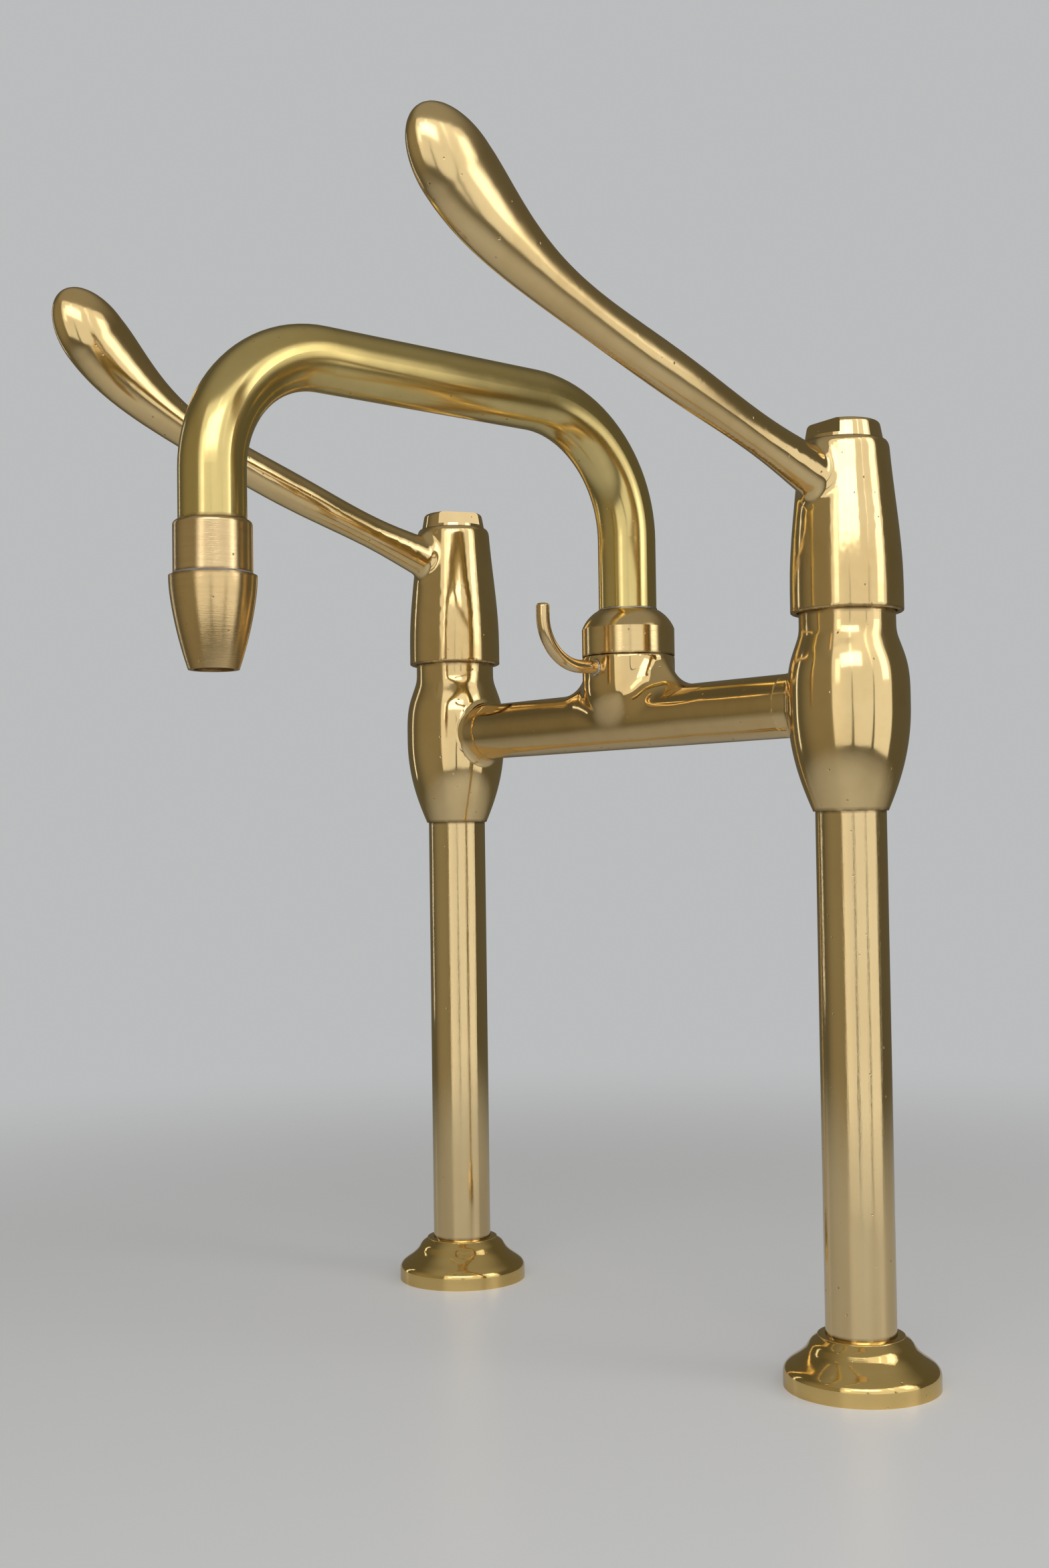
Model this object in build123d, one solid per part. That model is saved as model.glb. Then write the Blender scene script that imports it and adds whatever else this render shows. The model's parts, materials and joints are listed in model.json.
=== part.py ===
from build123d import *
import os
from math import cos, pi, radians, sin

# A bridge kitchen mixer tap in polished brass: two pillars, two lever valves, a bridge, a swivel spout.
# Millimetres. The origin lies midway between the pillars on the deck, +Z is up, the user stands at -Y,
# and +X points to the cold side.

# Driving dimensions: the layout of the whole tap. Each rise or drop starts from the height named before it.
pipe_centres = 216.0
deck_thickness = 20.0
pillar_height = 193.4
bridge_rise = 37.6
tee_rise = 24.3
spout_rise = 92.9
spout_reach = 183.8
spout_drop = 59.2
hot_closed_angle = -2.6
cold_closed_angle = -1.0

# Driving dimensions: clearances
running_fit = 0.05
thread_clearance = 0.05
seat_clearance = 0.1
loose_clearance = 0.3

# Driving dimensions: pillar, tail and deck fixing
pillar_radius = 12.0
pillar_wall = 1.5
pillar_socket_depth = 10.0
tail_shank_step = 1.0
tail_thread_step = 0.55
tail_bore_radius = 5.5
tail_plug_length = 16.0
tail_thread_length = 28.0
spigot_radius = 7.5
spigot_length = 30.0
deck_washer_radius = 18.0
deck_washer_thickness = 2.5
backnut_radius = 17.0
backnut_thickness = 8.0

# Driving dimensions: deck flange, an upright rim that rolls over into an ogee bell
flange_step = 14.4
flange_rim_height = 4.4
# The bell's curve from the rim up to the lip: how far out from the pillar, and how high
flange_ogee = [(13.8, 6.4), (11.3, 8.5), (8.6, 10.5), (6.4, 12.9), (4.5, 15.5), (2.5, 17.1)]
flange_lip_height = 17.7
flange_lip_slope = 0.15
flange_lip_step = 0.8
seal_inset = 4.9
seal_thickness = 2.0

# Driving dimensions: valve body, a vase that widens in steps from its neck, with a boss towards the bridge
body_lip = 0.7
body_foot_flare = 23.0
body_bore_radius = 12.45
body_neck_wall = 3.95
body_waist_step = 1.0
body_shoulder_step = 2.0
body_bulge_step = 1.3
body_bulge_drop = 2.0
body_shoulder_rise = 16.2
body_waist_rise = 6.0
body_neck_rise = 5.8
body_neck_length = 6.0
inlet_bore_radius = 9.5
boss_step = 0.25
boss_length = 3.9
boss_fillet = 4.0
port_radius = 7.5
bridge_spigot_depth = 8.0
bridge_spigot_wall = 2.0

# Driving dimensions: valve seat, jumper and spindle
web_rise = 4.6
web_thickness = 8.0
seat_hole_radius = 5.6
seat_lip_step = 1.8
seat_thread_step = 1.2
seat_flange_step = 1.4
seat_flange_thickness = 1.0
seat_lip_height = 1.5
jumper_lift = 4.0
jumper_washer_step = 1.2
jumper_washer_thickness = 2.8
jumper_plate_step = 0.6
jumper_plate_thickness = 3.0
jumper_stem_wall = 3.0
jumper_stem_gap = 9.25
jumper_stud_radius = 2.5
jumper_nut_gap = 1.3
jumper_nut_thickness = 3.0
key_width = 3.0
key_reach = 2.0
key_length = 6.0
spindle_radius = 4.0
spindle_screw_step = 1.0
spindle_screw_length = 27.0
spindle_collar_inset = 0.5
spindle_collar_thickness = 3.0
spindle_square = 5.6

# Driving dimensions: headgear, gland and clip
headgear_thread_length = 21.2
headgear_washer_thickness = 1.2
headgear_hex_inset = 0.6
headgear_hex_thickness = 5.0
headgear_barrel_wall = 2.5
headgear_barrel_height = 17.0
thrust_wall = 3.0
packing_radius = 7.0
packing_height = 7.0
packing_depth = 10.0
gland_nut_wall = 3.7
gland_nut_thread = 5.0
gland_nut_roof = 6.0
clip_radius = 6.2
clip_thickness = 1.0
clip_groove = 0.8

# Driving dimensions: lever, one casting of skirt, arm and blade
skirt_overlap = 2.2
skirt_clearance = 0.7
skirt_wall = 2.1
skirt_straight = 8.0
lever_height = 58.7
lever_top_radius = 13.85
lever_shoulder_step = 1.65
lever_shoulder_drop = 3.6
lever_shoulder_slope = 0.35
hub_roof_drop = 20.5
hub_roof_inset = 1.0
hub_recess_radius = 10.0
hub_recess_depth = 6.0
arm_root_drop = 18.2
arm_angle = 20.6
arm_straight = 126.6
arm_bend_radius = 125.0
arm_bend_angle = 26.0
arm_height = 14.5
arm_width = 12.8
root_height = 17.0
root_width = 15.0
root_flare_start = 15.0
root_flare_end = 31.0
blade_height = 26.6
blade_width = 17.4
blade_nose = 20.5
root_fillet = 5.0
# Each lever was set by hand after casting, so its arm hangs a little below the plain curve
hot_arm_sag = 3.6
cold_arm_sag = 0.6
# Steps of the swell from arm to blade: shares of the bend passed, the height gained and the width gained
blade_swell = [(0.45, 0.37, 0.5), (0.72, 0.8, 0.77), (1.0, 1.0, 1.0)]
screw_radius = 2.0
screw_head_radius = 6.0
screw_head_thickness = 3.0
screw_length = 12.0
spindle_setback = 2.0
cap_inset = 0.45
cap_taper = 0.9
cap_height = 6.4
cap_edge = 1.6
cap_crown_slope = 0.1
cap_spigot_depth = 2.5
# Two flats for a spanner lean like the side and stop short of a rim. Each cap was screwed down until tight, so its
# flats face their own way
cap_flat_reach = 9.6
cap_rim = 1.1
hot_cap_angle = -23.0
cold_cap_angle = -99.0

# Driving dimensions: bridge and tee
bridge_radius = 11.35
tee_step = 2.0
tee_straight = 11.1
tee_blend = 18.0
tee_thread_step = 2.4
tee_thread_height = 8.3
tee_socket_rise = 5.0
swivel_step = 2.3
thrust_ring_thickness = 1.5
thrust_ring_step = 1.5

# Driving dimensions: spout and nozzle
spout_radius = 11.1
spout_wall = 1.5
spout_rear_bend = 48.0
spout_front_bend = 42.5
o_ring_section = 0.8
o_ring_spacing = 8.0
gland_band_height = 10.5
gland_lip = 1.1
gland_top_rise = 6.9
gland_crown = 14.0
collar_step = 1.7
collar_height = 17.0
collar_edge = 1.6
tube_in_collar = 13.0
nozzle_washer_thickness = 0.8
nozzle_step = 1.4
nozzle_shoulder_step = 0.8
nozzle_shoulder_drop = 9.0
nozzle_lip = 1.7
nozzle_height = 30.2
nozzle_tip_slope = 0.6
nozzle_bore_radius = 6.5
nozzle_bore_length = 16.0
nozzle_thread_inset = 2.2
nozzle_thread_length = 6.0

# Driving dimensions: hook
hook_radius = 2.5
hook_drop = 5.0
hook_straight = 7.7
hook_bend = 18.0
hook_rise = 4.6
hook_socket = 2.2
hook_tip_round = 1.2

# Heights that follow from the layout
bridge_height = pillar_height + bridge_rise
tee_top_height = bridge_height + tee_rise
spout_arm_height = tee_top_height + spout_rise
collar_top_height = spout_arm_height - spout_drop
hook_height = tee_top_height - hook_drop
thread_bottom = -deck_thickness - tail_thread_length

# Pillar, tail and flange
pillar_bore = pillar_radius - pillar_wall
pillar_top = pillar_height + pillar_socket_depth
tail_shank_radius = pillar_radius - tail_shank_step
tail_thread_radius = tail_shank_radius - tail_thread_step
flange_radius = pillar_radius + flange_step
seal_radius = flange_radius - seal_inset

# Valve body
body_neck_radius = body_bore_radius + body_neck_wall
body_waist_radius = body_neck_radius + body_waist_step
body_shoulder_radius = body_waist_radius + body_shoulder_step
body_bulge_radius = body_shoulder_radius + body_bulge_step
body_bulge_height = bridge_height - body_bulge_drop
body_shoulder_height = body_bulge_height + body_shoulder_rise
body_waist_height = body_shoulder_height + body_waist_rise
body_neck_height = body_waist_height + body_neck_rise
body_top_height = body_neck_height + body_neck_length
boss_radius = bridge_radius + boss_step
boss_reach = body_bulge_radius + boss_length
boss_spigot_radius = boss_radius - bridge_spigot_wall
bridge_half = pipe_centres / 2 - boss_reach

# Headgear and gland
hex_bottom = body_top_height + headgear_washer_thickness
hex_top = hex_bottom + headgear_hex_thickness
headgear_hex_radius = body_neck_radius - headgear_hex_inset
headgear_barrel_radius = packing_radius + headgear_barrel_wall
headgear_bottom = hex_bottom - headgear_thread_length
headgear_top = hex_top + headgear_barrel_height
packing_bottom = headgear_top - packing_depth
packing_top = packing_bottom + packing_height
gland_nut_radius = headgear_barrel_radius + gland_nut_wall
gland_roof = headgear_top + seat_clearance
gland_top = gland_roof + gland_nut_roof
clip_bottom = gland_top + seat_clearance
clip_top = clip_bottom + clip_thickness

# Valve seat, jumper and spindle
web_height = pillar_top + web_rise
seat_lip_radius = seat_hole_radius + seat_lip_step
seat_thread_radius = seat_lip_radius + seat_thread_step
seat_flange_radius = seat_thread_radius + seat_flange_step
seat_top = web_height + web_thickness + seat_flange_thickness + seat_lip_height
washer_bottom = seat_top + running_fit
plate_bottom = washer_bottom + jumper_washer_thickness
stem_bottom = plate_bottom + jumper_plate_thickness
jumper_washer_radius = seat_lip_radius + jumper_washer_step
jumper_plate_radius = jumper_washer_radius + jumper_plate_step
jumper_nut_radius = seat_hole_radius - jumper_nut_gap
spindle_screw_radius = spindle_radius + spindle_screw_step
jumper_stem_radius = spindle_screw_radius + jumper_stem_wall
spindle_collar_radius = jumper_stem_radius - spindle_collar_inset
guide_radius = jumper_stem_radius + loose_clearance
thrust_shoulder = hex_top - thrust_wall
collar_top = thrust_shoulder - seat_clearance
collar_bottom = collar_top - spindle_collar_thickness
screw_bottom = collar_bottom - spindle_screw_length
stem_top = collar_bottom - jumper_lift - jumper_stem_gap

# Lever and cap
skirt_rim_height = body_top_height - skirt_overlap
skirt_radius = body_neck_radius + skirt_clearance + skirt_wall
lever_top_height = skirt_rim_height + lever_height
lever_shoulder_radius = lever_top_radius + lever_shoulder_step
hub_roof_height = lever_top_height - hub_roof_drop
hub_roof_radius = lever_shoulder_radius - hub_roof_inset
arm_root_height = lever_top_height - arm_root_drop
arm_bend = arm_bend_radius * radians(arm_bend_angle)
recess_floor = lever_top_height - hub_recess_depth
spindle_top = recess_floor - spindle_setback
cap_radius = lever_top_radius - cap_inset
cap_top_radius = cap_radius - cap_taper

# Tee, swivel and nozzle
swivel_radius = spout_radius + swivel_step
tee_thread_radius = swivel_radius + tee_thread_step
tee_radius = tee_thread_radius + tee_step
tee_neck_top = tee_top_height + tee_thread_height
tee_socket_floor = bridge_height + tee_socket_rise
gland_ceiling = tee_neck_top + seat_clearance
gland_top_radius = spout_radius + gland_lip
thrust_top = tee_socket_floor + thrust_ring_thickness
ferrule_bottom = thrust_top + running_fit
ferrule_top = gland_ceiling - seat_clearance
o_ring_line = swivel_radius - o_ring_section
o_ring_middle = (ferrule_bottom + ferrule_top) / 2
o_ring_heights = [o_ring_middle - o_ring_spacing / 2, o_ring_middle + o_ring_spacing / 2]
collar_radius = spout_radius + collar_step
nozzle_radius = collar_radius + nozzle_step
nozzle_shoulder_radius = nozzle_radius - nozzle_shoulder_step
nozzle_tip_radius = nozzle_bore_radius + nozzle_lip
nozzle_thread_radius = collar_radius - nozzle_thread_inset
nozzle_top = collar_top_height - collar_height - nozzle_washer_thickness


def rod(radius, low, high):
    """A plain upright cylinder between two heights."""
    return Pos(0, 0, low) * Cylinder(radius, high - low, align=(Align.CENTER, Align.CENTER, Align.MIN))


def tube(outer, inner, low, high):
    """A plain upright ring between two heights."""
    return rod(outer, low, high) - rod(inner, low, high)


def hex_prism(radius, low, high):
    """A hexagon on the flat, with the given corner radius."""
    return Pos(0, 0, low) * extrude(RegularPolygon(radius, 6), high - low)


def square_prism(side, low, high):
    """A square bar between two heights."""
    return Pos(0, 0, low) * extrude(Rectangle(side, side), high - low)


def turned(*edges):
    """A solid of revolution about Z. The edges are drawn as (radius, height) and close on each other."""
    outline = Curve() + list(edges)
    return revolve(Plane.XZ * make_face(outline.edges()), Axis.Z)


def lying(radius, start, end):
    """A cylinder along X at the bridge's height."""
    length = abs(end - start)
    place = Pos((start + end) / 2, 0, bridge_height) * Rot(0, 90, 0)
    return place * Cylinder(radius, length)


def make_flange():
    bore = pillar_radius + seat_clearance
    rim = (flange_radius, flange_rim_height)
    ogee = [(pillar_radius + out, height) for out, height in flange_ogee]
    lip = (pillar_radius + flange_lip_step, flange_lip_height)
    bell = turned(
        Line((bore, 0), (flange_radius, 0)),
        Line((flange_radius, 0), rim),
        Spline(rim, *ogee, lip, tangents=[(0, 1), (-1, flange_lip_slope)]),
        Line(lip, (bore, flange_lip_height)),
        Line((bore, flange_lip_height), (bore, 0)),
    )
    return bell - tube(seal_radius + seat_clearance, bore, 0, seal_thickness)


def make_seal():
    return tube(seal_radius, pillar_radius + seat_clearance, 0, seal_thickness)


def make_pillar():
    return tube(pillar_radius, pillar_bore, 0, pillar_top)


def make_tail():
    solid = rod(pillar_bore - seat_clearance, 0, tail_plug_length)
    solid += rod(tail_shank_radius, -deck_thickness, 0)
    solid += rod(tail_thread_radius, thread_bottom, -deck_thickness)
    solid += rod(spigot_radius, thread_bottom - spigot_length, thread_bottom)
    return solid - rod(tail_bore_radius, thread_bottom - spigot_length, tail_plug_length)


def make_deck_washer():
    hole = tail_thread_radius + seat_clearance
    return tube(deck_washer_radius, hole, -deck_thickness - deck_washer_thickness, -deck_thickness)


def make_backnut():
    top = -deck_thickness - deck_washer_thickness
    nut = hex_prism(backnut_radius, top - backnut_thickness, top)
    return nut - rod(tail_thread_radius + thread_clearance, top - backnut_thickness, top)


def make_valve_body(side):
    """The vase and its boss. side is +1 where the bridge leaves towards +X."""
    foot = (pillar_radius + body_lip, pillar_height)
    bulge = (body_bulge_radius, body_bulge_height)
    shoulder = (body_shoulder_radius, body_shoulder_height)
    waist = (body_waist_radius, body_waist_height)
    neck = (body_neck_radius, body_neck_height)
    flare = (sin(radians(body_foot_flare)), cos(radians(body_foot_flare)))
    vase = turned(
        Line((0, pillar_height), foot),
        Spline(foot, bulge, tangents=[flare, (0, 1)]),
        Spline(bulge, shoulder, waist, neck, tangents=[(0, 1), (0, 1)]),
        Line(neck, (body_neck_radius, body_top_height)),
        Line((body_neck_radius, body_top_height), (0, body_top_height)),
        Line((0, body_top_height), (0, pillar_height)),
    )
    boss = lying(boss_radius, 0, side * boss_reach)
    solid = vase + boss
    joint = [e for e in solid.edges() if e.geom_type not in (GeomType.CIRCLE, GeomType.LINE)
             and abs(e.center().X) > body_neck_radius / 2]
    solid = fillet(joint, boss_fillet)
    solid -= rod(pillar_radius + thread_clearance, pillar_height, pillar_top)
    solid -= rod(inlet_bore_radius, pillar_height, web_height)
    solid -= rod(seat_thread_radius + thread_clearance, web_height, web_height + web_thickness)
    solid -= rod(body_bore_radius, web_height + web_thickness, body_top_height)
    solid -= lying(port_radius, 0, side * boss_reach)
    socket_start = side * (boss_reach - bridge_spigot_depth)
    return solid - lying(boss_spigot_radius + seat_clearance, socket_start, side * boss_reach)


def make_valve_seat():
    base = web_height + web_thickness
    solid = rod(seat_thread_radius, web_height, base)
    solid += rod(seat_flange_radius, base, base + seat_flange_thickness)
    solid += rod(seat_lip_radius, base, seat_top)
    return solid - rod(seat_hole_radius, web_height, seat_top)


def make_jumper():
    stud_bottom = washer_bottom - jumper_nut_thickness - seat_clearance
    solid = rod(jumper_stud_radius, stud_bottom, plate_bottom)
    solid += rod(jumper_plate_radius, plate_bottom, stem_bottom)
    solid += rod(jumper_stem_radius, stem_bottom, stem_top)
    key_end = jumper_stem_radius + key_reach
    key = Box(key_end, key_width, key_length, align=(Align.MIN, Align.CENTER, Align.MAX))
    solid += Pos(0, 0, stem_top) * key
    socket_floor = screw_bottom - jumper_lift - loose_clearance
    return solid - rod(spindle_screw_radius + running_fit, socket_floor, stem_top)


def make_jumper_washer():
    return tube(jumper_washer_radius, jumper_stud_radius + thread_clearance, washer_bottom, plate_bottom)


def make_jumper_nut():
    low = washer_bottom - jumper_nut_thickness
    nut = hex_prism(jumper_nut_radius, low, washer_bottom)
    return nut - rod(jumper_stud_radius + thread_clearance, low, washer_bottom)


def make_headgear_washer():
    return tube(body_neck_radius - loose_clearance, body_bore_radius, body_top_height, hex_bottom)


def make_headgear():
    solid = rod(body_bore_radius - thread_clearance, headgear_bottom, hex_bottom)
    solid += hex_prism(headgear_hex_radius, hex_bottom, hex_top)
    solid += rod(headgear_barrel_radius, hex_top, headgear_top)
    solid -= rod(guide_radius, headgear_bottom, thrust_shoulder)
    solid -= rod(spindle_radius + running_fit, thrust_shoulder, packing_bottom)
    solid -= rod(packing_radius, packing_bottom, headgear_top)
    slot_top = stem_top + jumper_lift + loose_clearance
    slot = Box(guide_radius + key_reach, key_width + 2 * loose_clearance, slot_top - headgear_bottom,
               align=(Align.MIN, Align.CENTER, Align.MIN))
    return solid - Pos(0, 0, headgear_bottom) * slot


def make_packing():
    return tube(packing_radius - running_fit, spindle_radius + running_fit, packing_bottom, packing_top)


def make_gland_nut():
    thread_low = headgear_top - gland_nut_thread
    nut = hex_prism(gland_nut_radius, thread_low, gland_top)
    nut -= rod(headgear_barrel_radius + thread_clearance, thread_low, gland_roof)
    nut += rod(packing_radius - seat_clearance, packing_top, gland_roof)
    return nut - rod(spindle_radius + loose_clearance, packing_top, gland_top)


def make_clip():
    return tube(clip_radius, spindle_radius - clip_groove + running_fit, clip_bottom, clip_top)


def make_spindle():
    square_bottom = clip_top + clip_thickness
    solid = rod(spindle_screw_radius, screw_bottom, collar_bottom)
    solid += rod(spindle_collar_radius, collar_bottom, collar_top)
    solid += rod(spindle_radius, collar_top, square_bottom)
    solid += square_prism(spindle_square, square_bottom, spindle_top)
    solid -= tube(spindle_radius, spindle_radius - clip_groove, clip_bottom, clip_top)
    return solid - rod(screw_radius + thread_clearance, recess_floor - screw_length, spindle_top)


def arm_plane(distance, sag):
    """The plane square to the lever's centre line, which rises straight, bends up, and sags in the middle."""
    along = min(distance, arm_straight)
    bend = max(distance - arm_straight, 0) / arm_bend_radius
    start = radians(arm_angle)
    y = -along * cos(start) - arm_bend_radius * (sin(start + bend) - sin(start))
    z = arm_root_height + along * sin(start) + arm_bend_radius * (cos(start) - cos(start + bend))
    wave = pi / (arm_straight + arm_bend)
    z -= sag * sin(wave * distance)
    slope = start + bend - sag * wave * cos(wave * distance)
    return Plane(origin=(0, y, z), x_dir=(1, 0, 0), z_dir=(0, -cos(slope), sin(slope)))


def make_lever(sag):
    def arm_section(distance, height, width):
        return arm_plane(distance, sag) * Ellipse(width / 2, height / 2)

    def is_root(edge):
        """True for the line where the arm meets the skirt."""
        low = edge.bounding_box().min
        beside_skirt = low.Y > -2 * skirt_radius and edge.center().Y < -lever_top_radius
        return edge.geom_type == GeomType.BSPLINE and beside_skirt and low.Z > skirt_rim_height + skirt_straight

    rim = (skirt_radius, skirt_rim_height)
    straight = (skirt_radius, skirt_rim_height + skirt_straight)
    shoulder = (lever_shoulder_radius, lever_top_height - lever_shoulder_drop)
    top = (lever_top_radius, lever_top_height)
    lean = (lever_shoulder_radius - skirt_radius, lever_top_height - skirt_rim_height - skirt_straight)
    solid = turned(
        Line((0, skirt_rim_height), rim),
        Line(rim, straight),
        Spline(straight, shoulder, tangents=[(0, 1), lean]),
        Spline(shoulder, top, tangents=[lean, (-1, lever_shoulder_slope)]),
        Line(top, (0, lever_top_height)),
        Line((0, lever_top_height), (0, skirt_rim_height)),
    )
    sections = [
        arm_section(root_flare_start / 2, root_height, root_width),
        arm_section(root_flare_start, root_height, root_width),
        arm_section(root_flare_end, arm_height, arm_width),
        arm_section((root_flare_end + arm_straight) / 2, arm_height, arm_width),
        arm_section(arm_straight, arm_height, arm_width),
    ]
    for share, taller, wider in blade_swell:
        height = arm_height + taller * (blade_height - arm_height)
        width = arm_width + wider * (blade_width - arm_width)
        sections.append(arm_section(arm_straight + share * arm_bend, height, width))
    arm = loft(sections)
    nose = scale(Sphere(1), by=(blade_width / 2, blade_height / 2, blade_nose))
    nose = split(nose, Plane.XY, keep=Keep.TOP)
    solid += arm + arm_plane(arm_straight + arm_bend, sag) * nose
    solid = fillet(solid.edges().filter_by(is_root), root_fillet)
    inner = skirt_radius - skirt_wall
    hollow = turned(
        Line((0, skirt_rim_height), (inner, skirt_rim_height)),
        Line((inner, skirt_rim_height), (inner, skirt_rim_height + skirt_straight)),
        Line((inner, skirt_rim_height + skirt_straight), (hub_roof_radius, hub_roof_height)),
        Line((hub_roof_radius, hub_roof_height), (0, hub_roof_height)),
        Line((0, hub_roof_height), (0, skirt_rim_height)),
    )
    solid -= hollow
    solid -= rod(hub_recess_radius, recess_floor, lever_top_height)
    return solid - square_prism(spindle_square + seat_clearance, hub_roof_height, recess_floor)


def make_lever_screw():
    head = rod(screw_head_radius, recess_floor, recess_floor + screw_head_thickness)
    return head + rod(screw_radius, recess_floor - screw_length + seat_clearance, recess_floor)


def make_cap():
    top = lever_top_height + cap_height
    edge = (cap_top_radius, top - cap_edge)
    crown = (cap_top_radius - cap_edge, top)
    disc = turned(
        Line((0, lever_top_height), (cap_radius, lever_top_height)),
        Line((cap_radius, lever_top_height), edge),
        Spline(edge, crown, tangents=[(cap_top_radius - cap_radius, cap_height), (-1, cap_crown_slope)]),
        Line(crown, (0, top)),
        Line((0, top), (0, lever_top_height)),
    )
    rim_top = lever_top_height + cap_rim
    over = rim_top + cap_height
    outline = Polyline((cap_flat_reach, rim_top), (2 * cap_radius, rim_top), (2 * cap_radius, over),
                       (cap_flat_reach - cap_taper, over), close=True)
    beyond = extrude(Plane.XZ * make_face(outline), cap_radius, both=True)
    disc -= beyond + Rot(0, 0, 180) * beyond
    spigot_bottom = lever_top_height - cap_spigot_depth
    return disc + rod(hub_recess_radius - thread_clearance, spigot_bottom, lever_top_height)


def make_bridge():
    bowl_top = tee_top_height - tee_straight
    bowl = turned(
        CenterArc((0, bowl_top), tee_radius, 270, 90),
        Line((tee_radius, bowl_top), (0, bowl_top)),
        Line((0, bowl_top), (0, bowl_top - tee_radius)),
    )
    # The blend is so large that it would run past the top, so the boss starts too tall and is then faced off
    boss_top = tee_top_height + tee_blend
    boss = bowl + rod(tee_radius, bowl_top, boss_top)
    solid = lying(bridge_radius, -bridge_half, bridge_half) + boss
    solid = fillet(solid.edges().filter_by(GeomType.BSPLINE), tee_blend)
    solid -= rod(bridge_half, tee_top_height, boss_top)
    spigot_end = bridge_half + bridge_spigot_depth - seat_clearance
    solid += lying(boss_spigot_radius, -spigot_end, spigot_end)
    solid += rod(tee_thread_radius, tee_top_height, tee_neck_top)
    solid -= lying(port_radius, -spigot_end, spigot_end)
    solid -= rod(port_radius, bridge_height, tee_socket_floor)
    solid -= rod(swivel_radius + running_fit, tee_socket_floor, tee_neck_top)
    hook_hole = hook_radius + thread_clearance
    seat = Cylinder(hook_hole, hook_socket, align=(Align.CENTER, Align.CENTER, Align.MAX))
    return solid - Pos(0, -tee_radius, hook_height) * Rot(90, 0, 0) * seat


def make_thrust_ring():
    hole = port_radius + thrust_ring_step
    return tube(swivel_radius - loose_clearance, hole, tee_socket_floor, thrust_top)


def make_spout_gland_nut():
    band_top = tee_top_height + gland_band_height
    top = band_top + gland_top_rise
    hole = spout_radius + loose_clearance
    nut = turned(
        Line((hole, tee_top_height), (tee_radius, tee_top_height)),
        Line((tee_radius, tee_top_height), (tee_radius, band_top)),
        RadiusArc((tee_radius, band_top), (gland_top_radius, top), -gland_crown),
        Line((gland_top_radius, top), (hole, top)),
        Line((hole, top), (hole, tee_top_height)),
    )
    return nut - rod(tee_thread_radius + thread_clearance, tee_top_height, gland_ceiling)


def make_spout_tube():
    collar_seat = collar_top_height - tube_in_collar
    path = Plane.YZ * FilletPolyline(
        (0, ferrule_bottom),
        (0, spout_arm_height),
        (-spout_reach, spout_arm_height),
        (-spout_reach, collar_seat),
        radius=[spout_rear_bend, spout_front_bend],
    )
    ring = Pos(0, 0, ferrule_bottom) * (Circle(spout_radius) - Circle(spout_radius - spout_wall))
    return sweep(ring, path)


def make_ferrule():
    solid = tube(swivel_radius, spout_radius + thread_clearance, ferrule_bottom, ferrule_top)
    half = o_ring_section + seat_clearance
    groove_floor = o_ring_line - o_ring_section - running_fit
    for height in o_ring_heights:
        solid -= tube(swivel_radius, groove_floor, height - half, height + half)
    return solid


def make_o_rings():
    return Compound([Pos(0, 0, height) * Torus(o_ring_line, o_ring_section) for height in o_ring_heights])


def make_nozzle_collar():
    bottom = collar_top_height - collar_height
    side_top = (collar_radius, collar_top_height - collar_edge)
    face_rim = (collar_radius - collar_edge, collar_top_height)
    collar = turned(
        Line((0, bottom), (collar_radius, bottom)),
        Line((collar_radius, bottom), side_top),
        RadiusArc(side_top, face_rim, -collar_edge),
        Line(face_rim, (0, collar_top_height)),
        Line((0, collar_top_height), (0, bottom)),
    )
    collar += rod(nozzle_thread_radius, bottom - nozzle_washer_thickness - nozzle_thread_length, bottom)
    collar -= rod(spout_radius + thread_clearance, collar_top_height - tube_in_collar, collar_top_height)
    collar -= rod(spout_radius - spout_wall, nozzle_top - nozzle_thread_length, collar_top_height)
    return Pos(0, -spout_reach, 0) * collar


def make_nozzle_washer():
    washer_top = nozzle_top + nozzle_washer_thickness
    ring = tube(collar_radius, nozzle_thread_radius + seat_clearance, nozzle_top, washer_top)
    return Pos(0, -spout_reach, 0) * ring


def make_nozzle():
    tip = nozzle_top - nozzle_height
    thread = nozzle_thread_radius + thread_clearance
    thread_end = nozzle_top - nozzle_thread_length - seat_clearance
    bore_top = tip + nozzle_bore_length
    lip = (nozzle_tip_radius, tip)
    shoulder = (nozzle_shoulder_radius, nozzle_top - nozzle_shoulder_drop)
    rim = (nozzle_radius, nozzle_top)
    flare = (nozzle_radius - nozzle_tip_radius, nozzle_height * nozzle_tip_slope)
    shell = turned(
        Line((nozzle_bore_radius, tip), lip),
        Spline(lip, shoulder, rim, tangents=[flare, (0, 1)]),
        Line(rim, (thread, nozzle_top)),
        Line((thread, nozzle_top), (thread, thread_end)),
        Line((thread, thread_end), (nozzle_bore_radius, bore_top)),
        Line((nozzle_bore_radius, bore_top), (nozzle_bore_radius, tip)),
    )
    return Pos(0, -spout_reach, 0) * shell


def make_hook():
    root = tee_radius - hook_socket
    reach = tee_radius + hook_straight + hook_bend
    path = Plane.YZ * FilletPolyline(
        (-root, hook_height),
        (-reach, hook_height),
        (-reach, hook_height + hook_bend + hook_rise),
        radius=hook_bend,
    )
    wire = sweep(Plane(origin=(0, -root, hook_height), z_dir=(0, -1, 0)) * Circle(hook_radius), path)
    tip = wire.edges().sort_by(Axis.Z)[-1]
    return fillet(tip, hook_tip_round)


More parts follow.
